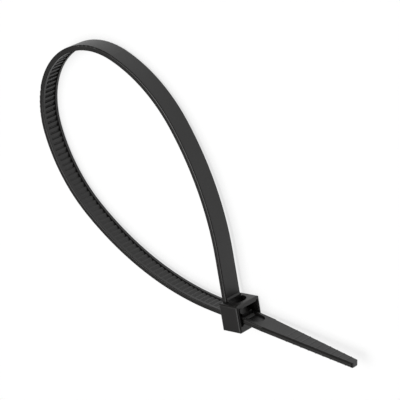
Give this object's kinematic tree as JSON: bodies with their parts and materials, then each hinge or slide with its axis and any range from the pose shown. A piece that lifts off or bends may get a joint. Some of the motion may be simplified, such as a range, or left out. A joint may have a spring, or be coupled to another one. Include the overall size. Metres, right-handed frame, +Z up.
{
  "type": "cable tie",
  "caption": "Nylon cable tie closed into a loose teardrop loop, toothed strap through a square head with a pawl, and a tapered tail.",
  "frame": {"origin": "middle of the flat side of the head, on which the tie lies", "axes": "+X along the slot towards the tail, +Y from the slot towards the strap root, +Z up across the width of the strap; the loop lies in the XY plane towards -X and +Y"},
  "size_m": [0.0874, 0.0561, 0.0071],
  "materials": {
    "nylon": "satin, moulded"
  },
  "bodies": {
    "root": {"cable_tie": "nylon"}
  },
  "joints": []
}
